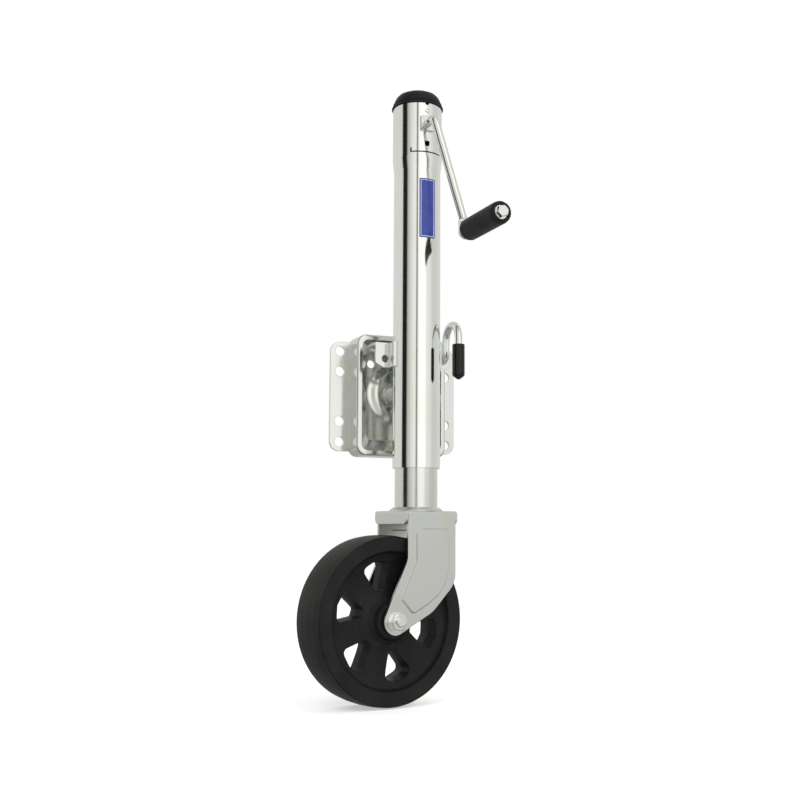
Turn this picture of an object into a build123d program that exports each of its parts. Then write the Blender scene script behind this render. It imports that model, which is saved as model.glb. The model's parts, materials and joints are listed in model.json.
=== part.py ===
from build123d import *
import math
import os

# Swing-away trailer tongue jack, bolted to the side of a trailer frame.
# Row frame: the origin is the centre of the bolt pattern on the face that meets the trailer frame,
# +Z runs up along the jack tube, +Y points into the trailer frame, and the crank is at -Y.
# All lengths are in millimetres.

# ---------------------------------------------------------------- driving dimensions
TUBE_Y = -81.0            # jack tube axis, measured from the mounting face
TUBE_R = 29.8             # lower outer tube
HEAD_R = 31.5             # swaged gear head at the top of the outer tube
TUBE_WALL = 2.4
TUBE_BOTTOM_Z = -96.1
TAPER_LOW_Z = 283.0
TAPER_HIGH_Z = 298.0
TUBE_TOP_Z = 374.0

RAM_R = 26.6              # inner tube
RAM_WALL = 2.4
RAM_BOTTOM_Z = -149.0
RAM_TOP_Z = 183.0

CRANK_Z = 340.0           # crank shaft axis
CRANK_RADIUS = 147.4      # shaft axis to grip axis
CRANK_ANGLE = 17.6        # from straight down, towards +X
CRANK_ROD_R = 5.25
CRANK_PLANE_Y = -53.5     # plane of the arm, measured from the tube axis
CRANK_BEND_R = 9.0

GRIP_R = 14.0
GRIP_INNER_Y = -58.4
GRIP_OUTER_Y = -149.0
GRIP_BOLT_R = 4.5

SCREW_R = 9.5
SCREW_NECK_R = 8.0
SCREW_BOTTOM_Z = -52.0

GEAR_MODULE = 2.0
PINION_TEETH = 10
GEAR_TEETH = 20
GEAR_FACE = 0.30          # face width as a share of the cone distance

PIVOT_Z = 4.0             # swing pivot, above the bolt pattern's centre
INDEX_OFFSET = 38.0       # pull pin from the pivot, both across and up
PIN_R = 4.75
HOOK_BEND_R = 10.0
HOOK_BEND_Y = -6.3        # first limb of the hook
HOOK_TURN_R = 18.5
HOOK_TURN_Z = 65.7

BRACKET_HALF_X = 62.0     # bracket box
BRACKET_HALF_Z = 78.4
BRACKET_RIM_Y = 46.5
PANEL_Y = 61.5
MOUNT_FACE_Y = 81.0
SHEET = 3.5               # bracket sheet
FLANGE_HALF_X = 88.0
FLANGE_HALF_Z = 71.5
FLANGE_T = 4.0
BOLT_X = 75.0
OUTER_BOLT_Z = 59.3
INNER_BOLT_Z = 32.5
BOLT_HOLE_R = 6.5

CASTER_ANGLE = 10.84      # the caster's swivel about the jack tube
TRAIL = 51.3
WHEEL_R = 101.6
WHEEL_HALF_W = 27.75
AXLE_Z = -279.9
AXLE_R = 6.0
LEG_INNER_Y = 31.5
LEG_T = 3.2
FORK_TOP_Z = -149.0
FORK_HALF_X = 35.0

RUNNING = 0.05            # radial clearance of a running fit
FIXED = 0.02              # radial clearance of pieces that are fastened together
GAP = 0.3                 # stand-off between faces of bodies that move past each other
THROUGH = 40.0            # overshoot of a cutting tool

CAP_SKIRT_Z = 367.7       # moulded cap on the head
CAP_TOP_Z = 389.6
CAP_RIM_R = 33.2
CAP_SIDE_R = 30.6
CAP_ROOF = 3.0
RIVET_Z = 357.0
RIVET_R = 1.5
GREASE_Z = 313.5
SLOT_Z = 303.2            # pressed lance slot in the head
BUSH_SPIGOT_R = 8.0

SCREW_TOP_Z = 331.5
SCREW_SHOULDER_Z = 298.0
BEARING_PLATE_Z = 298.6   # underside of the plate that carries the thrust bearing
BEARING_PLATE_T = 3.4
RACE_T = 2.4
RACE_R = 20.5
RACE_LOWER_Z = 302.05
RACE_UPPER_Z = 309.6
BALL_R = 2.5
BALL_CIRCLE_R = 15.0
BALL_COUNT = 12
BALL_Z = RACE_LOWER_Z + RACE_T + BALL_R + 0.10

GEAR_SEAT_Z = 312.0       # underside of the screw gear's hub
GEAR_PIN_R = 1.5
SCREW_PIN_Z = 316.5
SCREW_PIN_HALF = 13.2
PINION_HUB_R = 9.0
PINION_HUB_END = 27.2
PINION_PIN_Y = -24.9
PINION_PIN_HALF = 8.8

NUT_LENGTH = 19.0
KINGPIN_R = 9.0
KINGPIN_HEAD_R = 14.0
PLUG_T = 10.0

SHAFT_END_Y = 38.2
CLIP_Y = 35.2             # middle of the clip's groove
CLIP_T = 1.1
CLIP_R = 9.0
EYE_R = 10.0              # flattened eye at the arm's end
EYE_T = 7.0
GRIP_RECESS = 4.6
GRIP_WASHER_T = 1.5

SADDLE_R = TUBE_R + 0.05
SADDLE_LOW_Z = -55.5
SADDLE_HIGH_Z = 62.5
EAR_Y = 11.0
EAR_T = 3.5
EAR_LOW_Z = 31.0
EAR_HALF_X = 51.1
SHELF_BACK_Y = 42.0

HUB_R = 17.5
HUB_START_Y = 20.0
HUB_SHOULDER_Y = 55.2
JOURNAL_R = 13.0
BOSS_RAISE = 3.6
PANEL_BACK_Y = PANEL_Y + SHEET
BOSS_FRONT_Y = PANEL_Y - BOSS_RAISE
RETAINER_FRONT_Y = PANEL_BACK_Y - BOSS_RAISE + GAP
RETAINER_T = 5.0
PIVOT_SCREW_R = 4.15

INDEX_Z = PIVOT_Z + INDEX_OFFSET
PIN_TAIL_Y = PANEL_Y - 3.5
COLLAR_Y = 40.0
COLLAR_T = 3.0
COLLAR_R = 8.4
SPRING_WIRE_R = 0.9
SPRING_COIL_R = 6.6
SPRING_TURNS = 6
PIN_GRIP_R = 7.75
PIN_GRIP_TOP_Z = 57.2
PIN_GRIP_TIP_Z = 13.2

LABEL_T = 0.35
LABEL_HALF_WIDTH = 10.8
LABEL_LOW_Z = 192.6
LABEL_HIGH_Z = 269.0
LABEL_TURN = 3.5          # degrees round the tube

LEG_OUTER_Y = LEG_INNER_Y + LEG_T
APRON_T = 3.0
APRON_H = 16.0
PANEL_RAISE = 2.0
PANEL_SLOPE = 1.6
HUB_HALF = 29.0           # half the length of the wheel's hub
BUSH_R = 9.0
HEX_INNER_R = 9.5         # half the width across flats, M12
AXLE_WASHER_R = 11.6
WINDOW_COUNT = 6
WINDOW_START = 14.0       # first window, counter-clockwise from up seen from the crank side

# ---------------------------------------------------------------- local frames
JACK = Pos(0, TUBE_Y, 0)                       # tube axis, +Y still into the trailer frame
CASTER = JACK * Rot(0, 0, CASTER_ANGLE)        # axle along Y, trail towards -X
AXLE = Pos(-TRAIL, 0, AXLE_Z)
CRANK = Pos(0, 0, CRANK_Z) * Rot(0, -CRANK_ANGLE, 0)   # arm runs down -Z of this frame
PIVOT = Pos(0, 0, PIVOT_Z)
APEX = Pos(0, 0, CRANK_Z)                      # where the two gears' pitch cones meet
PIN_PLACE = Pos(INDEX_OFFSET, 0, INDEX_Z)

GEAR_PITCH_R = GEAR_MODULE * GEAR_TEETH / 2
PINION_PITCH_R = GEAR_MODULE * PINION_TEETH / 2


# ---------------------------------------------------------------- shape helpers
def rod(radius, start, end):
    """A round bar between two points."""
    axis = Vector(*end) - Vector(*start)
    plane = Plane(origin=start, z_dir=axis.normalized())
    return extrude(plane * Circle(radius), axis.length)


def ring(outer, inner, low, high):
    """A flat ring about Z."""
    sketch = Circle(outer) - Circle(inner)
    return extrude(Plane.XY.offset(low) * sketch, high - low)


def along_y(outer, inner, low, high, x=0.0, z=0.0):
    """A ring or disc about Y, from y = low to y = high."""
    plane = Plane(origin=(x, high, z), x_dir=(1, 0, 0), z_dir=(0, -1, 0))
    sketch = Circle(outer) - Circle(inner) if inner else Circle(outer)
    return extrude(plane * sketch, high - low)


def turned(points):
    """A body turned about Z from (radius, height) points."""
    return revolve(Plane.XZ * make_face(Polyline(*points, close=True)), Axis.Z)


def turned_along_y(points):
    """A body turned about Y from (radius, distance along +Y) points."""
    return Rot(-90, 0, 0) * turned(points)


def plate_xz(sketch, low, high, at=(0, 0)):
    """A sketch drawn in X and Z, made solid from y = low to y = high."""
    plane = Plane(origin=(at[0], high, at[1]), x_dir=(1, 0, 0), z_dir=(0, -1, 0))
    return extrude(plane * sketch, high - low)


def swept_bar(radius, points, radii):
    """A bent round bar through points, with one bend radius for each corner."""
    path = FilletPolyline(*points, radius=radii)
    start = Plane(origin=path @ 0, z_dir=path % 0)
    return sweep(start * Circle(radius), path=path)


# ---------------------------------------------------------------- outer tube and head
def outer_tube():
    """Round tube with a swaged head, pierced for the shaft, the rivet and the grease hole."""
    outside = [
        (TUBE_R, TUBE_BOTTOM_Z), (TUBE_R, TAPER_LOW_Z),
        (HEAD_R, TAPER_HIGH_Z), (HEAD_R, TUBE_TOP_Z),
    ]
    inside = [(r - TUBE_WALL, z) for r, z in reversed(outside)]
    tube = turned(outside + inside)
    slot_height, slot_reach, slot_depth = 1.5, 20.3, 24.0
    slot = Pos(0, -HEAD_R, SLOT_Z) * Box(2 * slot_reach, slot_depth, slot_height)
    tick = Pos(-slot_reach + slot_height / 2, -HEAD_R, SLOT_Z + 2.6) * Box(slot_height, slot_depth, 5.2)
    grease_r = 3.2
    grease_face = Circle(grease_r) + Pos(0, 2) * Rectangle(2 * grease_r, 4)
    grease_hole = plate_xz(grease_face, -THROUGH, -BUSH_SPIGOT_R, at=(0, GREASE_Z))
    cap_notch = Pos(0, -HEAD_R, CAP_SKIRT_Z - 1.2) * Box(4.5, 12, 3.0)
    front_hole = along_y(BUSH_SPIGOT_R + 0.1, 0, -THROUGH, 0, z=CRANK_Z)
    rear_hole = along_y(BUSH_SPIGOT_R + 0.1, 0, 0, THROUGH, z=CRANK_Z)
    rivet_hole = along_y(RIVET_R + RUNNING, 0, -THROUGH, 0, z=RIVET_Z)
    return tube - slot - tick - grease_hole - cap_notch - front_hole - rear_hole - rivet_hole


def top_cap():
    """Moulded cap: a flared rim over the tube's mouth, a short straight side and a low dome."""
    inner_r = HEAD_R + 0.1
    base = CAP_SKIRT_Z
    rim = [
        (inner_r, base), (CAP_RIM_R - 0.5, base), (CAP_RIM_R, base + 0.6), (CAP_RIM_R, base + 2.0),
        (CAP_RIM_R - 0.8, base + 3.0), (CAP_SIDE_R + 0.6, base + 4.6), (CAP_SIDE_R, base + 6.6),
    ]
    dome = [
        (29.6, CAP_TOP_Z - 11.2), (27.6, CAP_TOP_Z - 7.2), (24.4, CAP_TOP_Z - 3.8),
        (20.0, CAP_TOP_Z - 1.7), (13.0, CAP_TOP_Z - 0.4), (0, CAP_TOP_Z),
    ]
    roof_z = CAP_TOP_Z - CAP_ROOF
    seat_z = TUBE_TOP_Z + 0.2
    inside = [(0, roof_z), (18.0, roof_z - 1.6), (25.6, roof_z - 7.0), (27.4, seat_z), (inner_r, seat_z)]
    return turned(rim + dome + inside)


def head_rivet():
    """Round-head rivet that holds the top of the head."""
    front = -HEAD_R
    profile = [(0, front - 1.3), (1.6, front - 1.1), (2.6, front - 0.4), (2.7, front + 0.3), (0, front + 0.3)]
    head = Pos(0, 0, RIVET_Z) * turned_along_y(profile)
    head -= Pos(0, 0, RIVET_Z) * Cylinder(HEAD_R + FIXED, 2 * THROUGH)
    return head + along_y(RIVET_R, 0, front - 0.5, front + TUBE_WALL + 0.6, z=RIVET_Z)


def crank_bushing(front):
    """Bush that carries the crank shaft in the head's wall. The front one has a square pad."""
    spigot_low, spigot_high = 28.7, 32.0
    if front:
        pad = plate_xz(RectangleRounded(19, 19, 1.5), -34.4, -26.0, at=(0, CRANK_Z))
        spigot = along_y(BUSH_SPIGOT_R, 0, -spigot_high, -spigot_low, z=CRANK_Z)
    else:
        pad = along_y(11.5, 0, 26.0, 33.6, z=CRANK_Z)
        spigot = along_y(BUSH_SPIGOT_R, 0, spigot_low, spigot_high, z=CRANK_Z)
    seat = Pos(0, 0, CRANK_Z) * Cylinder(HEAD_R + RUNNING, 2 * THROUGH)
    return pad - seat + spigot - along_y(CRANK_ROD_R + RUNNING, 0, -THROUGH, THROUGH, z=CRANK_Z)


def bearing_plate():
    """Round plate welded across the head that carries the thrust bearing."""
    plate_r = HEAD_R - TUBE_WALL - 0.2
    return ring(plate_r, SCREW_R + 0.5, BEARING_PLATE_Z, BEARING_PLATE_Z + BEARING_PLATE_T)


def thrust_race(low, bore):
    """One washer of the ball thrust bearing under the screw gear."""
    return ring(RACE_R, bore, low, low + RACE_T)


def ball_places():
    """Where each ball of the thrust bearing sits."""
    return [Rot(0, 0, k * 360 / BALL_COUNT) * Pos(BALL_CIRCLE_R, 0, BALL_Z) for k in range(BALL_COUNT)]


def thrust_balls():
    """The ring of loose balls."""
    return Compound(children=[place * Sphere(BALL_R) for place in ball_places()])


def ball_cage():
    """Flat cage that keeps the balls apart."""
    half_t = 0.9
    cage = ring(19.2, 10.8, BALL_Z - half_t, BALL_Z + half_t)
    for place in ball_places():
        cage -= place * Sphere(BALL_R + 0.1)
    return cage


# ---------------------------------------------------------------- bevel gears and screw
def bevel_gear(teeth, pitch_r, cone_h, hub_r, hub_end, bore, phase):
    """Straight bevel gear about Z. The pitch cone's apex is the origin and the teeth face it."""
    cone = math.atan2(pitch_r, cone_h)
    outward = Vector(math.cos(cone), 0, math.sin(cone))
    side = Vector(0, 1, 0)
    pitch_point = Vector(pitch_r, 0, -cone_h)
    inner = 1 - GEAR_FACE
    sunk, backing = 0.5, 2.6
    addendum, dedendum = 0.80 * GEAR_MODULE, 1.15 * GEAR_MODULE
    tip_half, root_half = 0.24 * GEAR_MODULE, 0.92 * GEAR_MODULE
    corners = [
        pitch_point + outward * addendum + side * tip_half,
        pitch_point + outward * addendum - side * tip_half,
        pitch_point - outward * (dedendum + sunk) - side * root_half,
        pitch_point - outward * (dedendum + sunk) + side * root_half,
    ]
    big = make_face(Polyline(*corners, close=True))
    small = make_face(Polyline(*[c * inner for c in corners], close=True))
    tooth = loft([big, small], ruled=True)
    root = pitch_point - outward * dedendum
    body = turned([
        (bore, root.Z * inner), (root.X * inner, root.Z * inner), (root.X, root.Z),
        (root.X, root.Z - backing), (hub_r, root.Z - backing), (hub_r, -hub_end), (bore, -hub_end),
    ])
    for k in range(teeth):
        body += Rot(0, 0, phase + k * 360 / teeth) * tooth
    return body - Cylinder(bore, 4 * THROUGH)


def cross_hole_in_screw():
    """Tool for the cross pin's hole through the screw and its gear."""
    return along_y(GEAR_PIN_R + FIXED, 0, -THROUGH, THROUGH, z=SCREW_PIN_Z)


def cross_hole_in_shaft():
    """Tool for the cross pin's hole through the crank shaft and its pinion."""
    return rod(GEAR_PIN_R + FIXED, (-THROUGH, PINION_PIN_Y, CRANK_Z), (THROUGH, PINION_PIN_Y, CRANK_Z))


def screw_gear():
    """Large bevel gear pinned to the top of the screw."""
    hub_r = 13.5
    gear = bevel_gear(GEAR_TEETH, GEAR_PITCH_R, PINION_PITCH_R, hub_r, CRANK_Z - GEAR_SEAT_Z,
                      SCREW_NECK_R + FIXED, 90)
    return APEX * gear - cross_hole_in_screw()


def screw_gear_pin():
    """Cross pin through the screw gear."""
    return along_y(GEAR_PIN_R, 0, -SCREW_PIN_HALF, SCREW_PIN_HALF, z=SCREW_PIN_Z)


def crank_pinion():
    """Small bevel pinion pinned to the crank shaft, set half a tooth round so that it meshes."""
    gear = bevel_gear(PINION_TEETH, PINION_PITCH_R, GEAR_PITCH_R, PINION_HUB_R, PINION_HUB_END,
                      CRANK_ROD_R + FIXED, 90 + 180 / PINION_TEETH)
    return APEX * Rot(-90, 0, 0) * gear - cross_hole_in_shaft()


def crank_pinion_pin():
    """Cross pin through the pinion."""
    half = PINION_PIN_HALF
    return rod(GEAR_PIN_R, (-half, PINION_PIN_Y, CRANK_Z), (half, PINION_PIN_Y, CRANK_Z))


def lead_screw():
    """Screw with a reduced neck for the bearing and the gear. Its thread is left smooth."""
    lead_in, step = 2.0, 1.5
    screw = turned([
        (0, SCREW_BOTTOM_Z), (SCREW_R - lead_in, SCREW_BOTTOM_Z), (SCREW_R, SCREW_BOTTOM_Z + lead_in),
        (SCREW_R, SCREW_SHOULDER_Z), (SCREW_NECK_R, SCREW_SHOULDER_Z + step),
        (SCREW_NECK_R, SCREW_TOP_Z - 1), (SCREW_NECK_R - 1, SCREW_TOP_Z), (0, SCREW_TOP_Z),
    ])
    return screw - cross_hole_in_screw()


# ---------------------------------------------------------------- ram
def inner_tube():
    """The ram that slides in the outer tube."""
    return ring(RAM_R, RAM_R - RAM_WALL, RAM_BOTTOM_Z + 0.1, RAM_TOP_Z)


def lead_nut():
    """Round nut fixed in the ram's top. Its thread is left smooth."""
    top = RAM_TOP_Z - 1
    return ring(RAM_R - RAM_WALL - RUNNING, SCREW_R + RUNNING, top - NUT_LENGTH, top)


def ram_plug():
    """Round plug welded in the ram's foot, which the kingpin passes through."""
    return ring(RAM_R - RAM_WALL - RUNNING, KINGPIN_R + FIXED, RAM_BOTTOM_Z + 0.1, RAM_BOTTOM_Z + PLUG_T)


def kingpin():
    """Headed pin that holds the fork to the ram."""
    head_low = RAM_BOTTOM_Z + PLUG_T + RUNNING
    head_high = head_low + 6.0
    foot = FORK_TOP_Z - SHEET - 9.4
    return turned([(0, foot), (KINGPIN_R, foot), (KINGPIN_R, head_low), (KINGPIN_HEAD_R, head_low),
                   (KINGPIN_HEAD_R, head_high), (0, head_high)])


# ---------------------------------------------------------------- crank
def crank_rod():
    """One bent bar: the shaft through the head, the arm, and the flattened eye for the grip bolt."""
    neck, neck_half = 16.0, 5.6
    points = [(0, SHAFT_END_Y, 0), (0, CRANK_PLANE_Y, 0), (0, CRANK_PLANE_Y, neck - CRANK_RADIUS)]
    bar = swept_bar(CRANK_ROD_R, points, CRANK_BEND_R)
    low, high = CRANK_PLANE_Y - EYE_T / 2, CRANK_PLANE_Y + EYE_T / 2
    eye_half = EYE_R * 0.96
    neck_face = Polygon((-eye_half, 0), (eye_half, 0), (neck_half, neck), (-neck_half, neck), align=None)
    arm = bar + along_y(EYE_R, 0, low, high, z=-CRANK_RADIUS)
    arm += plate_xz(neck_face, low, high, at=(0, -CRANK_RADIUS))
    arm -= along_y(GRIP_BOLT_R + FIXED, 0, low - 5, high + 5, z=-CRANK_RADIUS)
    return CRANK * arm - cross_hole_in_shaft() - ring_groove()


def ring_groove():
    """Groove near the shaft's inner end for the retaining clip."""
    half, depth = CLIP_T / 2 + RUNNING, 0.9
    return along_y(CRANK_ROD_R + 2, CRANK_ROD_R - depth, CLIP_Y - half, CLIP_Y + half, z=CRANK_Z)


def shaft_clip():
    """Open retaining clip in the shaft's groove."""
    mouth = 7.5
    clip = along_y(CLIP_R, CRANK_ROD_R - 0.85, CLIP_Y - CLIP_T / 2, CLIP_Y + CLIP_T / 2, z=CRANK_Z)
    return clip - Pos(0, CLIP_Y, CRANK_Z + 8) * Box(mouth, 4, 16)


def crank_grip():
    """Moulded sleeve that turns on its bolt."""
    bore = GRIP_BOLT_R + RUNNING
    recess_r, recess_floor = 9.4, GRIP_OUTER_Y + GRIP_RECESS
    inner_end = [
        (bore, GRIP_INNER_Y), (10.9, GRIP_INNER_Y), (13.2, GRIP_INNER_Y - 2.2), (13.9, GRIP_INNER_Y - 4.4),
        (GRIP_R, GRIP_INNER_Y - 30),
    ]
    outer_end = [
        (GRIP_R, GRIP_OUTER_Y + 7.5), (13.5, GRIP_OUTER_Y + 3.6), (12.2, GRIP_OUTER_Y + 1.0),
        (10.8, GRIP_OUTER_Y), (recess_r, GRIP_OUTER_Y + 0.4), (recess_r, recess_floor), (bore, recess_floor),
    ]
    return CRANK * Pos(0, 0, -CRANK_RADIUS) * turned_along_y(inner_end + outer_end)


def grip_washer():
    """Washer under the grip bolt's head."""
    face = GRIP_OUTER_Y + GRIP_RECESS - 0.1
    return CRANK * along_y(8.6, GRIP_BOLT_R + RUNNING, face - GRIP_WASHER_T, face, z=-CRANK_RADIUS)


def grip_bolt():
    """Shoulder bolt with a hexagon head, through the grip into the arm's eye."""
    head_t, flats_half, inner_end = 6.6, 6.5, CRANK_PLANE_Y + 4.4
    high = GRIP_OUTER_Y + GRIP_RECESS - 0.1 - GRIP_WASHER_T - FIXED
    low = high - head_t
    head = plate_xz(RegularPolygon(flats_half, 6, major_radius=False), low, high)
    crown = turned_along_y([(0, low), (6.0, low), (7.9, low + 1.4), (7.9, high), (0, high)])
    bolt = (head & crown) + along_y(GRIP_BOLT_R, 0, high - 0.5, inner_end)
    return CRANK * Pos(0, 0, -CRANK_RADIUS) * bolt


# ---------------------------------------------------------------- swivel bracket on the tube
def sector(radius, half_angle):
    """A pie slice about +Y, drawn in X and Y."""
    a = math.radians(half_angle)
    return Polygon((0, 0), (radius * math.sin(a), radius * math.cos(a)), (0, radius * 1.9),
                   (-radius * math.sin(a), radius * math.cos(a)), align=None)


def saddle_bracket():
    """Stamping welded round the back of the tube, with a shelf and two ears for the pull pin."""
    outer = SADDLE_R + SHEET
    height = SADDLE_HIGH_Z - SADDLE_LOW_Z
    trough = ring(outer, SADDLE_R, SADDLE_LOW_Z, SADDLE_HIGH_Z)
    trough &= extrude(Plane.XY.offset(SADDLE_LOW_Z) * sector(60, 43), height)
    collar_front_y = -5.0
    collar = ring(outer, SADDLE_R, EAR_LOW_Z, SADDLE_HIGH_Z)
    collar -= Pos(0, collar_front_y - THROUGH, EAR_LOW_Z) * Box(4 * THROUGH, 2 * THROUGH, 4 * THROUGH)
    shelf = Pos(0, (EAR_Y + SHELF_BACK_Y) / 2, SADDLE_HIGH_Z - SHEET / 2) * Box(
        2 * EAR_HALF_X, SHELF_BACK_Y - EAR_Y, SHEET)
    corner_x, corner_z = EAR_HALF_X - 11.0, EAR_LOW_Z + 5.7
    ear_face = Polygon((-EAR_HALF_X, SADDLE_HIGH_Z), (-EAR_HALF_X, corner_z), (-corner_x, EAR_LOW_Z),
                       (corner_x, EAR_LOW_Z), (EAR_HALF_X, corner_z), (EAR_HALF_X, SADDLE_HIGH_Z), align=None)
    ears = plate_xz(ear_face, EAR_Y, EAR_Y + EAR_T)
    bracket = trough + collar + shelf + ears - Cylinder(SADDLE_R, 10 * THROUGH)
    for side in (-1, 1):
        x = side * INDEX_OFFSET
        bracket -= along_y(PIN_R + RUNNING, 0, 0, EAR_Y + EAR_T + 10, x=x, z=INDEX_Z)
        bracket -= along_y(PIN_R + GAP, 0, -THROUGH, EAR_Y - 1, x=x, z=INDEX_Z)
    hook_relief = Box(2 * (PIN_R + GAP), 26, 40)
    return bracket - Pos(INDEX_OFFSET, -4, 50) * hook_relief


def pivot_hub():
    """Turned hub welded to the saddle, with the journal that the jack swings on."""
    hub = along_y(HUB_R, 0, HUB_START_Y, HUB_SHOULDER_Y)
    hub += along_y(JOURNAL_R, 0, HUB_START_Y, RETAINER_FRONT_Y + RETAINER_T)
    screw_hole = along_y(PIVOT_SCREW_R + RUNNING, 0, HUB_SHOULDER_Y - 6, HUB_SHOULDER_Y + THROUGH)
    return PIVOT * (hub - screw_hole) - Cylinder(SADDLE_R + SHEET + RUNNING, 10 * THROUGH)


def pivot_washer():
    """Bearing washer between the hub's shoulder and the panel's boss."""
    return PIVOT * along_y(21.0, JOURNAL_R + 0.1, HUB_SHOULDER_Y + FIXED, BOSS_FRONT_Y - GAP)


def pivot_retainer():
    """Thick washer behind the panel."""
    return PIVOT * along_y(24.0, JOURNAL_R + FIXED, RETAINER_FRONT_Y, RETAINER_FRONT_Y + RETAINER_T)


def pivot_bolt():
    """Screw that clamps the retainer to the hub's end."""
    face = RETAINER_FRONT_Y + RETAINER_T + RUNNING
    head = turned_along_y([(0, face), (16.0, face), (16.0, face + 1.5), (13.0, face + 3.6),
                           (6.0, face + 4.8), (0, face + 4.8)])
    return PIVOT * (head + along_y(PIVOT_SCREW_R, 0, HUB_SHOULDER_Y - 5.5, face + 0.5))


# ---------------------------------------------------------------- bracket on the trailer frame
def dish(mouth_size, mouth_y, floor_size, floor_y):
    """A rounded tray shape that narrows from its mouth to its floor, which sits a little higher."""
    corner, lift = 9.0, 6.5
    mouth_plane = Plane(origin=(0, mouth_y, 0), x_dir=(1, 0, 0), z_dir=(0, -1, 0))
    floor_plane = Plane(origin=(0, floor_y, lift), x_dir=(1, 0, 0), z_dir=(0, -1, 0))
    mouth = mouth_plane * RectangleRounded(*mouth_size, corner)
    floor = floor_plane * RectangleRounded(*floor_size, corner)
    return loft([mouth, floor], ruled=True)


def boss_swell(panel_y, foot_r, top_r):
    """Low round swelling on a panel at y = panel_y, rising towards -Y in a smooth S."""
    steps, sunk = 8, 1.0
    slope = []
    for k in range(steps + 1):
        share = k / steps
        rise = BOSS_RAISE * (1 - math.cos(math.pi * share)) / 2
        slope.append((foot_r + (top_r - foot_r) * share, panel_y - rise))
    base = [(0, panel_y + sunk), (foot_r, panel_y + sunk)]
    return turned_along_y(base + slope + [(0, panel_y - BOSS_RAISE)])


def mounting_bracket():
    """Pressed box with a dished front, a raised boss for the pivot and a drilled flange on each side."""
    corner, rim_bend = 13.0, 3.0
    depth = MOUNT_FACE_Y - BRACKET_RIM_Y
    inner_x, inner_z = BRACKET_HALF_X - SHEET, BRACKET_HALF_Z - SHEET
    box_face = RectangleRounded(2 * BRACKET_HALF_X, 2 * BRACKET_HALF_Z, corner)
    box = plate_xz(box_face, BRACKET_RIM_Y, MOUNT_FACE_Y)
    box = fillet(box.faces().sort_by(Axis.Y)[0].edges(), rim_bend)
    hollow_face = RectangleRounded(2 * inner_x, 2 * inner_z, corner - SHEET)
    hollow = plate_xz(hollow_face, BRACKET_RIM_Y + SHEET, MOUNT_FACE_Y + 1)
    tray = dish((110.8, 143.0), BRACKET_RIM_Y - 0.01, (89.0, 127.0), PANEL_Y)
    tray_back = dish((120.0, 151.8), BRACKET_RIM_Y + SHEET, (96.0, 134.0), PANEL_BACK_Y)
    shell = box - (hollow - tray_back) - tray
    shell += PIVOT * boss_swell(PANEL_Y, 43.0, 28.0)
    shell -= PIVOT * boss_swell(PANEL_BACK_Y, 40.5, 25.5)
    shell -= PIVOT * along_y(JOURNAL_R + RUNNING, 0, BRACKET_RIM_Y, MOUNT_FACE_Y)
    flange_face = RectangleRounded(2 * FLANGE_HALF_X, 2 * FLANGE_HALF_Z, corner)
    flanges = plate_xz(flange_face, MOUNT_FACE_Y - FLANGE_T, MOUNT_FACE_Y)
    flanges -= Pos(0, MOUNT_FACE_Y, 0) * Box(2 * inner_x, 2 * depth, 10 * THROUGH)
    bracket = shell + flanges
    for x in (-BOLT_X, BOLT_X):
        for z in (-OUTER_BOLT_Z, -INNER_BOLT_Z, INNER_BOLT_Z, OUTER_BOLT_Z):
            bracket -= along_y(BOLT_HOLE_R, 0, MOUNT_FACE_Y - 20, MOUNT_FACE_Y + 20, x=x, z=z)
    for side in (-1, 1):
        bracket -= along_y(PIN_R + 0.5, 0, PANEL_Y - 5, PANEL_Y + 15, x=side * INDEX_OFFSET, z=INDEX_Z)
    return bracket


# ---------------------------------------------------------------- pull pin
def pull_pin():
    """Bent bar: the locking tail, then the hook that a hand pulls."""
    turn_z = HOOK_TURN_Z - INDEX_Z
    far_y = HOOK_BEND_Y - 2 * HOOK_TURN_R
    tip_z = PIN_GRIP_TIP_Z + 8 - INDEX_Z
    corners = [(0, PIN_TAIL_Y, 0), (0, HOOK_BEND_Y, 0), (0, HOOK_BEND_Y, turn_z)]
    first = FilletPolyline(*corners, radius=HOOK_BEND_R)
    turn = ThreePointArc((0, HOOK_BEND_Y, turn_z), (0, HOOK_BEND_Y - HOOK_TURN_R, turn_z + HOOK_TURN_R),
                         (0, far_y, turn_z))
    last = Line((0, far_y, turn_z), (0, far_y, tip_z))
    path = Wire(first.edges() + turn.edges() + last.edges())
    start = Plane(origin=(0, PIN_TAIL_Y, 0), z_dir=(0, -1, 0))
    bar = sweep(start * Circle(PIN_R), path=path)
    tail = bar.faces().sort_by(Axis.Y)[-1]
    return PIN_PLACE * chamfer(tail.edges(), 1.2)


def pin_collar():
    """Pressed collar on the pin that the spring pushes against."""
    return PIN_PLACE * along_y(COLLAR_R, PIN_R + FIXED, COLLAR_Y, COLLAR_Y + COLLAR_T)


def pin_spring():
    """Coil spring between the ear and the collar."""
    stand_off = SPRING_WIRE_R + 0.1
    front = EAR_Y + EAR_T + stand_off
    length = COLLAR_Y - stand_off - front
    path = Helix(pitch=length / SPRING_TURNS, height=length, radius=SPRING_COIL_R)
    start = Plane(origin=path @ 0, z_dir=path % 0)
    coil = sweep(start * Circle(SPRING_WIRE_R), path=path, is_frenet=True)
    return PIN_PLACE * Pos(0, front, 0) * Rot(-90, 0, 0) * coil


def pin_grip():
    """Dipped vinyl sleeve with a pointed end."""
    outer, bore = PIN_GRIP_R, PIN_R + FIXED
    tip, top = PIN_GRIP_TIP_Z, PIN_GRIP_TOP_Z
    sleeve = turned([
        (bore, top), (outer - 0.4, top), (outer, top - 0.8), (outer, tip + 5.6), (outer - 0.9, tip + 4.0),
        (1.6, tip + 0.2), (0, tip), (0, tip + 7.9), (bore, tip + 7.9),
    ])
    return Pos(INDEX_OFFSET, HOOK_BEND_Y - 2 * HOOK_TURN_R, 0) * sleeve


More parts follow.
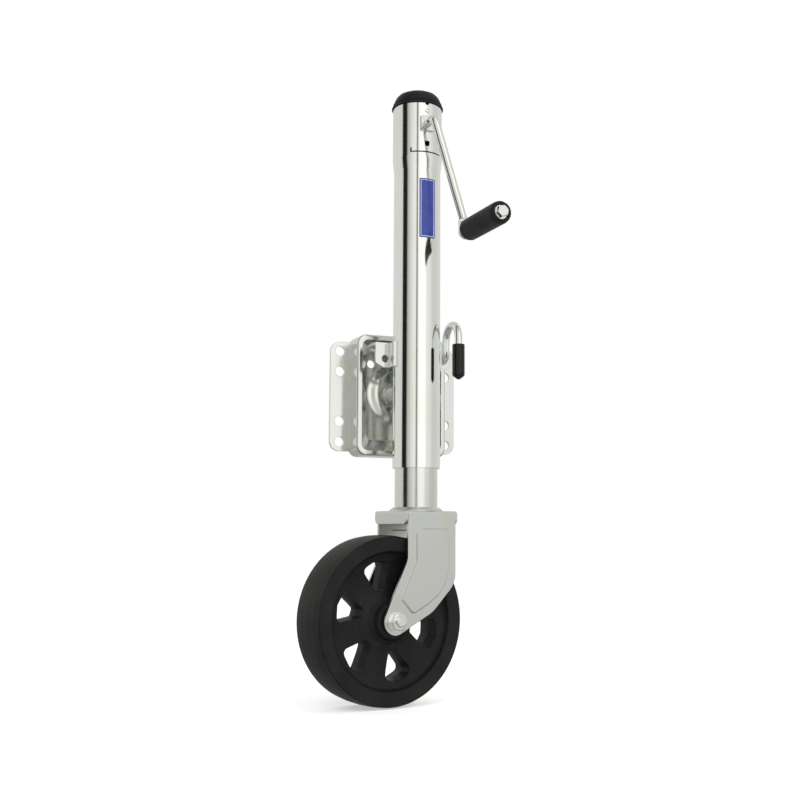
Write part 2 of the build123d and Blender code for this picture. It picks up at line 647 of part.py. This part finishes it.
# ---------------------------------------------------------------- label
def label_plate():
    """Thin blank plate curved round the tube's front."""
    height, middle = LABEL_HIGH_Z - LABEL_LOW_Z, (LABEL_LOW_Z + LABEL_HIGH_Z) / 2
    inner_r = TUBE_R + FIXED
    strip = ring(inner_r + LABEL_T, inner_r, LABEL_LOW_Z, LABEL_HIGH_Z)
    window = plate_xz(RectangleRounded(2 * LABEL_HALF_WIDTH, height, 1.5), -THROUGH, 0, at=(0, middle))
    return Rot(0, 0, LABEL_TURN) * (strip & window)


# ---------------------------------------------------------------- caster
def rounded_near(outline, x, z, radius):
    """The outline with its corner at (x, z) rounded."""
    corner = outline.vertices().sort_by_distance((x, z, 0))[0]
    return fillet(corner, radius)


def leg_face():
    """Outline of one fork leg in X and Z."""
    eye_r, back_x, front_x = 16.0, -34.5, 35.4
    outline = Polygon((back_x, FORK_TOP_Z), (back_x, -208.0), (-65.9, -273.4), (-58.0, AXLE_Z - 14.0),
                      (-43.7, -294.0), (2.0, -270.0), (front_x, -236.0), (front_x, FORK_TOP_Z), align=None)
    outline = rounded_near(outline, front_x, -236.0, 30)
    outline = rounded_near(outline, 2.0, -270.0, 40)
    outline = rounded_near(outline, back_x, -208.0, 25)
    return outline + Pos(-TRAIL, AXLE_Z) * Circle(eye_r)


def leg_panel(margin):
    """Outline of the pressed panel on a fork leg, drawn in by a margin."""
    shape = Polygon((-14.5, -170), (-23.5, -176), (-23.0, -209), (-44.0, -255), (-29.5, -270.5),
                    (-24.5, -271), (-6.0, -261.5), (11.0, -249.5), (21.0, -234.5), (25.3, -220),
                    (25.6, -178), (22.0, -170), align=None)
    shape = fillet(shape.vertices(), 2.2)
    return offset(shape, -margin) if margin else shape


def pressed_panel(side, face_y, margin):
    """The panel pressed out of a leg, with sloping edges, standing on the leg's face at y = face_y."""
    sunk = 0.2
    foot = leg_panel(margin)
    crown = leg_panel(margin + PANEL_SLOPE)
    layers = []
    for outline, y in ((foot, face_y - sunk), (foot, face_y), (crown, face_y + PANEL_RAISE)):
        plane = Plane(origin=(0, side * y, 0), x_dir=(1, 0, 0), z_dir=(0, -1, 0))
        layers.append(plane * outline)
    return loft(layers[:2], ruled=True) + loft(layers[1:], ruled=True)


def fork_aprons():
    """Short turned-down aprons across the fork's front and back, with rounded lower corners."""
    corner = 6.0
    aprons = None
    for side in (-1, 1):
        x = side * (FORK_HALF_X + APRON_T / 2)
        apron = Pos(x, 0, FORK_TOP_Z - APRON_H / 2) * Box(APRON_T, 2 * LEG_OUTER_Y, APRON_H)
        low = apron.edges().filter_by(Axis.X).group_by(Axis.Z)[0]
        apron = fillet(low, corner)
        aprons = apron if aprons is None else aprons + apron
    return aprons


def caster_fork():
    """One stamping: top plate, two legs, and an apron across the front and the back."""
    top_bend = 2.8
    top = Pos(0, 0, FORK_TOP_Z - SHEET / 2) * Box(2 * FORK_HALF_X, 2 * LEG_OUTER_Y, SHEET)
    between_h = 2 * (300 + FORK_TOP_Z - SHEET)
    between = Pos(0, 0, -300) * Box(10 * THROUGH, 2 * LEG_INNER_Y, between_h)
    legs = plate_xz(leg_face(), -LEG_OUTER_Y, LEG_OUTER_Y) - between
    shell = top + legs + fork_aprons()
    rim = shell.edges().filter_by(lambda e: e.center().Z > FORK_TOP_Z - 0.1)
    shell = fillet(rim, top_bend)
    for side in (-1, 1):
        shell += pressed_panel(side, LEG_OUTER_Y, 0.0)
        shell -= pressed_panel(side, LEG_INNER_Y, PANEL_SLOPE)
    shell -= Pos(0, 0, FORK_TOP_Z) * Cylinder(KINGPIN_R + RUNNING, THROUGH)
    return shell - AXLE * along_y(AXLE_R + FIXED, 0, -2 * THROUGH, 2 * THROUGH)


def fork_collar():
    """Low dust collar round the foot of the ram."""
    inner, base = RAM_R + GAP, FORK_TOP_Z + FIXED
    return turned([(inner, base), (33.5, base), (32.6, base + 1.6), (28.6, base + 4.4), (inner, base + 4.8)])


def kingpin_washer():
    """Washer between the fork and the kingpin's nut."""
    top = FORK_TOP_Z - SHEET - 0.1
    return ring(17.0, KINGPIN_R + FIXED, top - 2.2, top)


def kingpin_nut():
    """Hexagon nut under the fork's top."""
    top, height = FORK_TOP_Z - SHEET - 2.35, 6.5
    hexagon = RegularPolygon(13.5, 6, major_radius=False) - Circle(KINGPIN_R + FIXED)
    return extrude(Plane.XY.offset(top - height) * hexagon, height)


def axle_bolt():
    """Hexagon-head bolt through both legs. Its threaded end is on the crank side."""
    low, high = LEG_OUTER_Y + 1.7, LEG_OUTER_Y + 9.0
    head = plate_xz(RegularPolygon(HEX_INNER_R, 6, major_radius=False), low, high)
    shank = along_y(AXLE_R, 0, -LEG_OUTER_Y - 13.0, low + 0.3)
    tip = shank.faces().sort_by(Axis.Y)[0]
    return AXLE * (chamfer(tip.edges(), 1.2) + head)


def axle_nut():
    """Hexagon nut with a turned crown."""
    low, high = -LEG_OUTER_Y - 9.6, -LEG_OUTER_Y - 1.7
    body = plate_xz(RegularPolygon(HEX_INNER_R, 6, major_radius=False), low, high)
    crown = turned_along_y([(0, low), (8.6, low), (11.2, low + 1.6), (11.2, high), (0, high)])
    return AXLE * ((body & crown) - along_y(AXLE_R + FIXED, 0, -2 * THROUGH, 2 * THROUGH))


def axle_washers():
    """One washer under the bolt's head and one under its nut."""
    near, far = LEG_OUTER_Y + 0.03, LEG_OUTER_Y + 1.65
    nut_side = along_y(AXLE_WASHER_R, AXLE_R + FIXED, -far, -near)
    head_side = along_y(AXLE_WASHER_R, AXLE_R + FIXED, near, far)
    return AXLE * Compound(children=[nut_side, head_side])


def axle_spacers():
    """Short tubes between the legs and the wheel's hub."""
    near, far, outer_r = HUB_HALF + GAP, LEG_INNER_Y - 0.03, 9.5
    nut_side = along_y(outer_r, AXLE_R + FIXED, -far, -near)
    head_side = along_y(outer_r, AXLE_R + FIXED, near, far)
    return AXLE * Compound(children=[nut_side, head_side])


def wheel_bush():
    """Plain bush pressed in the wheel's hub."""
    return AXLE * along_y(BUSH_R, AXLE_R + RUNNING, -HUB_HALF, HUB_HALF)


def window_face(shrink):
    """Outline of one opening between two spokes, wide at the rim."""
    inner_r, outer_r, inner_half, outer_half = 34.0, 74.0, 5.6, 22.0
    side_r = outer_r - 6.0
    shape = Polygon((-inner_half, inner_r), (inner_half, inner_r), (outer_half, side_r), (0, outer_r),
                    (-outer_half, side_r), align=None)
    for side in (-1, 1):
        shape = rounded_near(shape, side * inner_half, inner_r, 5.0)
        shape = rounded_near(shape, side * outer_half, side_r, 7.5)
    return offset(shape, -shrink) if shrink else shape


def window_cut():
    """One opening, drafted so that it is narrowest at the wheel's middle plane."""
    reach, draft = 30.0, 2.4
    halves = []
    for side in (-1, 1):
        layers = []
        for shrink, y in ((draft, 0.0), (0.0, side * reach)):
            plane = Plane(origin=(0, y, 0), x_dir=(1, 0, 0), z_dir=(0, -1, 0))
            layers.append(plane * window_face(shrink))
        halves.append(loft(layers, ruled=True))
    return halves[0] + halves[1]


def wheel():
    """Moulded wheel with a crowned tread, six flared spokes and six windows."""
    half, edge = WHEEL_HALF_W, 1.6
    hub = [(BUSH_R + RUNNING, HUB_HALF), (19.0, HUB_HALF), (21.0, HUB_HALF - 2), (23.5, 21.5), (28.0, 17.0)]
    spokes = [(36.0, 14.2), (46.0, 13.4), (58.0, 14.2), (68.0, 16.0), (75.0, 18.2), (78.6, 20.0),
              (80.6, 22.4)]
    rim = [(82.0, half - 1.2), (83.5, half), (100.0 - edge, half), (100.0, half - edge),
           (WHEEL_R - 0.4, half / 2), (WHEEL_R, 0)]
    front = hub + spokes + rim
    back = [(r, -y) for r, y in reversed(front[:-1])]
    body = turned_along_y(front + back)
    cut = window_cut()
    for k in range(WINDOW_COUNT):
        body -= Rot(0, -(WINDOW_START + k * 360 / WINDOW_COUNT), 0) * cut
    return AXLE * body


# ---------------------------------------------------------------- assembly
def parts():
    """Every node's shape in the row frame."""
    jack = {
        "outer_tube": outer_tube(),
        "top_cap": top_cap(),
        "head_rivet": head_rivet(),
        "crank_bushing_front": crank_bushing(True),
        "crank_bushing_rear": crank_bushing(False),
        "bearing_plate": bearing_plate(),
        "thrust_race_lower": thrust_race(RACE_LOWER_Z, SCREW_R + 0.5),
        "thrust_race_upper": thrust_race(RACE_UPPER_Z, SCREW_NECK_R + FIXED),
        "thrust_balls": thrust_balls(),
        "ball_cage": ball_cage(),
        "label_plate": label_plate(),
        "saddle_bracket": saddle_bracket(),
        "pivot_hub": pivot_hub(),
        "pivot_washer": pivot_washer(),
        "pivot_retainer": pivot_retainer(),
        "pivot_bolt": pivot_bolt(),
        "mounting_bracket": mounting_bracket(),
        "pull_pin": pull_pin(),
        "pin_collar": pin_collar(),
        "pin_spring": pin_spring(),
        "pin_grip": pin_grip(),
        "crank_rod": crank_rod(),
        "shaft_clip": shaft_clip(),
        "crank_pinion": crank_pinion(),
        "crank_pinion_pin": crank_pinion_pin(),
        "crank_grip": crank_grip(),
        "grip_washer": grip_washer(),
        "grip_bolt": grip_bolt(),
        "lead_screw": lead_screw(),
        "screw_gear": screw_gear(),
        "screw_gear_pin": screw_gear_pin(),
        "inner_tube": inner_tube(),
        "lead_nut": lead_nut(),
        "ram_plug": ram_plug(),
        "kingpin": kingpin(),
        "kingpin_washer": kingpin_washer(),
        "kingpin_nut": kingpin_nut(),
    }
    caster = {
        "caster_fork": caster_fork(),
        "fork_collar": fork_collar(),
        "axle_bolt": axle_bolt(),
        "axle_nut": axle_nut(),
        "axle_washers": axle_washers(),
        "axle_spacers": axle_spacers(),
        "wheel_bush": wheel_bush(),
        "wheel": wheel(),
    }
    placed = {name: JACK * shape for name, shape in jack.items()}
    placed.update({name: CASTER * shape for name, shape in caster.items()})
    return placed


os.makedirs("parts", exist_ok=True)
for name, shape in parts().items():
    export_step(shape, f"parts/{name}.step")
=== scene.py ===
import json
import math

import bmesh
import bpy
from mathutils import Matrix, Vector


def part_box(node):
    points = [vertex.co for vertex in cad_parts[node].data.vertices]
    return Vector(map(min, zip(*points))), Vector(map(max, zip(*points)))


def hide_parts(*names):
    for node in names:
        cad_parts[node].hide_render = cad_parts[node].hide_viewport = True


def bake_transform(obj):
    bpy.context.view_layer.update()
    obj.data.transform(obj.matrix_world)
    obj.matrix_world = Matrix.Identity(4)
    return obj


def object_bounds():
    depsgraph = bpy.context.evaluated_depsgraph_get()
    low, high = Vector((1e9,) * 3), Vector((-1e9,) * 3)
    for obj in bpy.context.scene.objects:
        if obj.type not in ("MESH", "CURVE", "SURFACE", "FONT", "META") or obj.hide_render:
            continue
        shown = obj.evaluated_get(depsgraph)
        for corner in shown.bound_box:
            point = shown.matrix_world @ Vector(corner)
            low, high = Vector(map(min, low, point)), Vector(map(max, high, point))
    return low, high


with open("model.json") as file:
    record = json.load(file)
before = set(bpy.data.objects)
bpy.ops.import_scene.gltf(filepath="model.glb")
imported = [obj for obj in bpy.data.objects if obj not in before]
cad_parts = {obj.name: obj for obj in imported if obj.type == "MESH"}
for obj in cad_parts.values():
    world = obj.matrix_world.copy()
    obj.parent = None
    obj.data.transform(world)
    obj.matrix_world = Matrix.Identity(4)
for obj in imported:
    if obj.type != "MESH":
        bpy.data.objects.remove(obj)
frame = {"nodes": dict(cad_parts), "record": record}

cad_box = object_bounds()
nodes = frame["nodes"]

# ---------------------------------------------------------------- camera, in metres and degrees
CAMERA_PLACE = (-0.5535, -1.3635, -0.1751)
CAMERA_HEADING = -22.5
CAMERA_PITCH = 6.75
CAMERA_ROLL = 0.32
SENSOR_WIDTH = 36.0
LENS = 50.31

# ---------------------------------------------------------------- the object's own places
FLOOR_Z = cad_box[0][2]
FLOOR_GAP = 0.0002
FLOOR_RADIUS = 40.0
FLOOR_SIDES = 96
FLOOR_GLOW = 0.45
MIDDLE_OF_JACK = (0, -0.08, 0)

# ---------------------------------------------------------------- lamps: place, side length and watts
KEY_LAMP = ((-1.4, -1.6, 1.5), 1.2, 14)
FILL_LAMP = ((1.6, -1.2, 0.9), 1.4, 8)

# ---------------------------------------------------------------- studio seen in the bright metal
# share of a full turn, with 0.5 straight behind the camera and less than 0.5 to its left, and brightness
STUDIO_AROUND = [(0.000, 0.70), (0.250, 0.70), (0.288, 0.66), (0.299, 0.012), (0.357, 0.012), (0.372, 0.45),
                 (0.392, 0.58), (0.433, 0.78), (0.473, 0.90), (0.487, 0.88), (0.495, 0.16), (0.505, 0.16),
                 (0.514, 0.90), (0.540, 1.15), (0.608, 1.15), (0.640, 0.84), (0.682, 0.80), (0.732, 0.64),
                 (0.789, 0.63), (0.866, 0.70), (1.000, 0.70)]
# height of the direction, from straight down to straight up, and brightness
STUDIO_HEIGHTS = [(0.00, 0.42), (0.30, 0.52), (0.40, 0.68), (0.485, 0.90), (0.515, 0.98), (0.62, 1.00),
                  (0.80, 0.96), (1.00, 0.85)]
AROUND_TINT = (0.995, 1.0, 0.985)
HEIGHT_TINT = (1.0, 1.0, 0.97)

# ---------------------------------------------------------------- edges softened in the materials, in metres
METAL_EDGE = 0.0006
PLASTIC_EDGE = 0.0012
EDGE_SAMPLES = 6

# ---------------------------------------------------------------- label's border line, in metres
BORDER_INSET = 0.0019
BORDER_HALF_WIDTH = 0.00035


# ---------------------------------------------------------------- material helpers
class Shader:
    """A material with one Principled shader and short calls to wire nodes into it."""

    def __init__(self, name):
        self.material = bpy.data.materials.new(name)
        self.material.use_nodes = True
        self.tree = self.material.node_tree
        self.surface = self.tree.nodes["Principled BSDF"]
        coordinates = self.tree.nodes.new("ShaderNodeTexCoord")
        self.place = coordinates.outputs["Object"]

    def set(self, **values):
        for key, value in values.items():
            self.surface.inputs[key.replace("_", " ")].default_value = value

    def scaled(self, scale):
        mapping = self.tree.nodes.new("ShaderNodeMapping")
        mapping.inputs["Scale"].default_value = scale
        self.tree.links.new(self.place, mapping.inputs["Vector"])
        return mapping.outputs["Vector"]

    def noise(self, scale, detail=4.0, roughness=0.55, stretch=(1, 1, 1)):
        node = self.tree.nodes.new("ShaderNodeTexNoise")
        node.inputs["Scale"].default_value = scale
        node.inputs["Detail"].default_value = detail
        node.inputs["Roughness"].default_value = roughness
        self.tree.links.new(self.scaled(stretch), node.inputs["Vector"])
        return node.outputs["Fac"]

    def ramp(self, source, stops):
        node = self.tree.nodes.new("ShaderNodeValToRGB")
        ends = node.color_ramp.elements
        ends[0].position, ends[0].color = stops[0][0], (*stops[0][1], 1)
        ends[1].position, ends[1].color = stops[-1][0], (*stops[-1][1], 1)
        for place, colour in stops[1:-1]:
            ends.new(place).color = (*colour, 1)
        self.tree.links.new(source, node.inputs["Fac"])
        return node.outputs["Color"]

    def span(self, source, low, high):
        node = self.tree.nodes.new("ShaderNodeMapRange")
        node.inputs["To Min"].default_value = low
        node.inputs["To Max"].default_value = high
        self.tree.links.new(source, node.inputs["Value"])
        return node.outputs["Result"]

    def bump(self, source, strength, distance, edge=METAL_EDGE):
        """Fine relief over softly rounded edges."""
        rounded = self.tree.nodes.new("ShaderNodeBevel")
        rounded.samples = EDGE_SAMPLES
        rounded.inputs["Radius"].default_value = edge
        node = self.tree.nodes.new("ShaderNodeBump")
        self.tree.links.new(rounded.outputs["Normal"], node.inputs["Normal"])
        node.inputs["Strength"].default_value = strength
        node.inputs["Distance"].default_value = distance
        self.tree.links.new(source, node.inputs["Height"])
        self.feed("Normal", node.outputs["Normal"])

    def feed(self, socket, source):
        self.tree.links.new(source, self.surface.inputs[socket])


# ---------------------------------------------------------------- materials
def zinc(name, tone, rough_low, rough_high, cloud, grain):
    """Zinc plate: slight olive and blue patches, faint drawing lines along the part."""
    m = Shader(name)
    m.set(Metallic=1.0)
    patches = m.noise(cloud, detail=3.0)
    cool = tuple(tone * k for k in (0.97, 1.0, 1.0))
    olive = tuple(tone * k for k in (0.95, 0.99, 0.90))
    pale = tuple(tone * k for k in (1.0, 1.0, 0.985))
    m.feed("Base Color", m.ramp(patches, [(0.34, olive), (0.52, pale), (0.68, cool)]))
    m.feed("Roughness", m.span(m.noise(cloud * 4, detail=5.0), rough_low, rough_high))
    m.bump(m.noise(grain, detail=6.0, stretch=(1, 1, 0.12)), 0.05, 0.00005)
    return m.material


def moulded(name, colour, rough_low, rough_high, grain, depth, shine):
    """Moulded plastic with a fine stipple and slightly uneven sheen."""
    m = Shader(name)
    lighter = tuple(c * 1.7 + 0.003 for c in colour)
    m.feed("Base Color", m.ramp(m.noise(34.0), [(0.3, colour), (0.75, lighter)]))
    m.feed("Roughness", m.span(m.noise(60.0, detail=5.0), rough_low, rough_high))
    m.bump(m.noise(grain, detail=3.0), depth, 0.0001, edge=PLASTIC_EDGE)
    m.surface.inputs["Specular IOR Level"].default_value = shine
    return m.material


def plain_label():
    """Blank blue label with a thin pale border line and no lettering."""
    m = Shader("label_blue")
    m.set(Roughness=0.22)
    low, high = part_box("label_plate")
    middle_x, middle_z = (low[0] + high[0]) / 2, (low[2] + high[2]) / 2
    half_x, half_z = (high[0] - low[0]) / 2, (high[2] - low[2]) / 2
    split = m.tree.nodes.new("ShaderNodeSeparateXYZ")
    m.tree.links.new(m.place, split.inputs[0])

    def maths(operation, a, b):
        node = m.tree.nodes.new("ShaderNodeMath")
        node.operation = operation
        for socket, value in zip(node.inputs, (a, b)):
            if isinstance(value, float):
                socket.default_value = value
            elif value is not None:
                m.tree.links.new(value, socket)
        return node.outputs[0]

    def inset(axis, middle, half):
        away = maths("ABSOLUTE", maths("SUBTRACT", split.outputs[axis], float(middle)), None)
        return maths("SUBTRACT", float(half), away)

    edge = maths("MINIMUM", inset("X", middle_x, half_x), inset("Z", middle_z, half_z))
    line = maths("COMPARE", edge, BORDER_INSET)
    line.node.inputs[2].default_value = BORDER_HALF_WIDTH
    mix = m.tree.nodes.new("ShaderNodeMix")
    mix.data_type = "RGBA"
    shade = m.ramp(m.noise(90.0), [(0.3, (0.028, 0.045, 0.26)), (0.7, (0.040, 0.062, 0.33))])
    m.tree.links.new(line, mix.inputs["Factor"])
    m.tree.links.new(shade, mix.inputs["A"])
    mix.inputs["B"].default_value = (0.62, 0.66, 0.78, 1)
    m.feed("Base Color", mix.outputs["Result"])
    return m.material


FINISHES = {
    "bright_zinc": zinc("bright_zinc", 0.93, 0.07, 0.14, 14.0, 900.0),
    "satin_zinc": zinc("satin_zinc", 0.78, 0.30, 0.42, 22.0, 1400.0),
    "plain_steel": zinc("plain_steel", 0.56, 0.25, 0.40, 26.0, 1200.0),
    "bronze": zinc("bronze", 0.50, 0.30, 0.42, 30.0, 1000.0),
    "black_plastic": moulded("black_plastic", (0.007, 0.007, 0.007), 0.38, 0.52, 2600.0, 0.30, 0.20),
    "wheel_plastic": moulded("wheel_plastic", (0.0065, 0.0068, 0.0066), 0.40, 0.55, 2000.0, 0.25, 0.20),
    "black_vinyl": moulded("black_vinyl", (0.004, 0.004, 0.004), 0.10, 0.18, 500.0, 0.06, 0.35),
    "label_blue": plain_label(),
}


# pressed and rolled pieces take the same plate a little duller than the drawn outer tube
DULLER = ("mounting_bracket", "saddle_bracket", "inner_tube", "pivot_hub", "pivot_washer",
          "crank_bushing_front")
DULL_ZINC = zinc("bright_zinc_pressed", 0.82, 0.12, 0.22, 18.0, 900.0)


def dress_nodes():
    """Gives every CAD node the finish of its slot in the record."""
    for entry in frame["record"]["subparts"]:
        mesh = nodes[entry["node"]].data
        mesh.materials.clear()
        finish = DULL_ZINC if entry["node"] in DULLER else FINISHES[entry["material_slot"]]
        mesh.materials.append(finish)


# ---------------------------------------------------------------- coil spring
SPRING_TURNS = 6
SPRING_WIRE = 0.0009
WIRE_SIDES = 12
STEPS_A_TURN = 40


def coil_spring():
    """Wire coil between the ear and the collar."""
    low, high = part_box("pin_spring")
    middle_x, middle_z = (low[0] + high[0]) / 2, (low[2] + high[2]) / 2
    radius = (high[0] - low[0]) / 2 - SPRING_WIRE
    front, back = low[1] + SPRING_WIRE, high[1] - SPRING_WIRE
    steps = SPRING_TURNS * STEPS_A_TURN
    rise = (back - front) / steps
    shape = bmesh.new()
    rings = []
    for k in range(steps + 1):
        angle = 2 * math.pi * k / STEPS_A_TURN
        out = Vector((math.cos(angle), 0, math.sin(angle)))
        centre = Vector((middle_x, front + rise * k, middle_z)) + out * radius
        forward_x = -math.sin(angle) * radius * 2 * math.pi / STEPS_A_TURN
        forward_z = math.cos(angle) * radius * 2 * math.pi / STEPS_A_TURN
        along = Vector((forward_x, rise, forward_z)).normalized()
        across = along.cross(out)
        loop = []
        for j in range(WIRE_SIDES):
            turn = 2 * math.pi * j / WIRE_SIDES
            spoke = out * math.cos(turn) + across * math.sin(turn)
            loop.append(shape.verts.new(centre + spoke * SPRING_WIRE))
        rings.append(loop)
    for first, second in zip(rings, rings[1:]):
        for j in range(WIRE_SIDES):
            after = (j + 1) % WIRE_SIDES
            shape.faces.new((first[j], first[after], second[after], second[j]))
    shape.faces.new(rings[0][::-1])
    shape.faces.new(rings[-1])
    bmesh.ops.recalc_face_normals(shape, faces=shape.faces)
    for face in shape.faces:
        face.smooth = len(face.verts) == 4
    mesh = bpy.data.meshes.new("coil_spring")
    shape.to_mesh(mesh)
    shape.free()
    mesh.materials.append(FINISHES["plain_steel"])
    spring = bpy.data.objects.new("coil_spring", mesh)
    bpy.context.scene.collection.objects.link(spring)
    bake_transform(spring)
    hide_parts("pin_spring")


# ---------------------------------------------------------------- studio
def level_ramp(tree, levels, tint):
    """Colour ramp through pairs of place and brightness."""
    ramp = tree.nodes.new("ShaderNodeValToRGB")
    elements = ramp.color_ramp.elements
    elements[0].position, elements[1].position = levels[0][0], levels[-1][0]
    for pair in levels[1:-1]:
        elements.new(pair[0])
    for element, (place, level) in zip(elements, levels):
        element.position = place
        element.color = (level * tint[0], level * tint[1], level * tint[2], 1)
    return ramp


def studio_world():
    """Studio with one dark flag and softer grey sides, seen only in the bright metal.

    The camera itself sees plain white.
    """
    world = bpy.data.worlds.new("studio")
    bpy.context.scene.world = world
    world.use_nodes = True
    tree = world.node_tree
    tree.nodes.clear()
    direction = tree.nodes.new("ShaderNodeTexCoord").outputs["Generated"]
    turn = tree.nodes.new("ShaderNodeMapping")
    turn.vector_type = "POINT"
    turn.inputs["Rotation"].default_value = (0, 0, math.radians(90 - CAMERA_HEADING))
    tree.links.new(direction, turn.inputs["Vector"])
    around = tree.nodes.new("ShaderNodeTexGradient")
    around.gradient_type = "RADIAL"
    tree.links.new(turn.outputs["Vector"], around.inputs["Vector"])
    ramp = level_ramp(tree, STUDIO_AROUND, AROUND_TINT)
    tree.links.new(around.outputs["Fac"], ramp.inputs["Fac"])
    split = tree.nodes.new("ShaderNodeSeparateXYZ")
    tree.links.new(direction, split.inputs[0])
    share = tree.nodes.new("ShaderNodeMapRange")
    share.inputs["From Min"].default_value = -1.0
    tree.links.new(split.outputs["Z"], share.inputs["Value"])
    shade = level_ramp(tree, STUDIO_HEIGHTS, HEIGHT_TINT)
    tree.links.new(share.outputs["Result"], shade.inputs["Fac"])
    both = tree.nodes.new("ShaderNodeMix")
    both.data_type = "RGBA"
    both.blend_type = "MULTIPLY"
    both.inputs["Factor"].default_value = 1.0
    tree.links.new(ramp.outputs["Color"], both.inputs["A"])
    tree.links.new(shade.outputs["Color"], both.inputs["B"])
    seen = tree.nodes.new("ShaderNodeBackground")
    seen.inputs["Color"].default_value = (1, 1, 1, 1)
    lit = tree.nodes.new("ShaderNodeBackground")
    tree.links.new(both.outputs["Result"], lit.inputs["Color"])
    mix = tree.nodes.new("ShaderNodeMixShader")
    tree.links.new(tree.nodes.new("ShaderNodeLightPath").outputs["Is Camera Ray"], mix.inputs[0])
    tree.links.new(lit.outputs[0], mix.inputs[1])
    tree.links.new(seen.outputs[0], mix.inputs[2])
    tree.links.new(mix.outputs[0], tree.nodes.new("ShaderNodeOutputWorld").inputs["Surface"])


def soft_light(name, place, size, watts):
    """Square lamp aimed at the jack. The metal doesn't mirror it."""
    data = bpy.data.lights.new(name, "AREA")
    data.shape = "SQUARE"
    data.size = size
    data.energy = watts
    lamp = bpy.data.objects.new(name, data)
    lamp.location = place
    lamp.visible_glossy = False
    lamp.rotation_euler = (Vector(MIDDLE_OF_JACK) - Vector(place)).to_track_quat("-Z", "Y").to_euler()
    bpy.context.scene.collection.objects.link(lamp)


def pale_floor():
    """Plain white floor under the wheel."""
    shape = bmesh.new()
    bmesh.ops.create_circle(shape, cap_ends=True, radius=FLOOR_RADIUS, segments=FLOOR_SIDES)
    mesh = bpy.data.meshes.new("floor")
    shape.to_mesh(mesh)
    shape.free()
    floor = bpy.data.objects.new("floor", mesh)
    floor.location = (0, 0, FLOOR_Z - FLOOR_GAP)
    # bright metal mirrors the studio's grey lower half instead, and so stays clear of the white behind it
    floor.visible_glossy = False
    m = Shader("pale_floor")
    m.set(Roughness=0.8)
    m.feed("Base Color", m.ramp(m.noise(3.0), [(0.3, (0.90, 0.90, 0.90)), (0.7, (0.93, 0.93, 0.93))]))
    m.surface.inputs["Emission Color"].default_value = (1, 1, 1, 1)
    m.surface.inputs["Emission Strength"].default_value = FLOOR_GLOW
    mesh.materials.append(m.material)
    bpy.context.scene.collection.objects.link(floor)


def photo_camera():
    """Camera at the angle of a buyer's view, low and to the left of the crank side."""
    data = bpy.data.cameras.new("camera")
    data.sensor_width = SENSOR_WIDTH
    data.lens = LENS
    data.clip_start, data.clip_end = 0.05, 100
    camera = bpy.data.objects.new("camera", data)
    turn = Matrix.Rotation(math.radians(CAMERA_HEADING), 4, "Z")
    turn = turn @ Matrix.Rotation(math.radians(90 + CAMERA_PITCH), 4, "X")
    turn = turn @ Matrix.Rotation(math.radians(CAMERA_ROLL), 4, "Z")
    camera.matrix_world = Matrix.Translation(CAMERA_PLACE) @ turn
    bpy.context.scene.collection.objects.link(camera)
    bpy.context.scene.camera = camera


dress_nodes()
coil_spring()
studio_world()
soft_light("key", *KEY_LAMP)
soft_light("fill", *FILL_LAMP)
pale_floor()
photo_camera()
bpy.context.scene.view_settings.view_transform = "Standard"
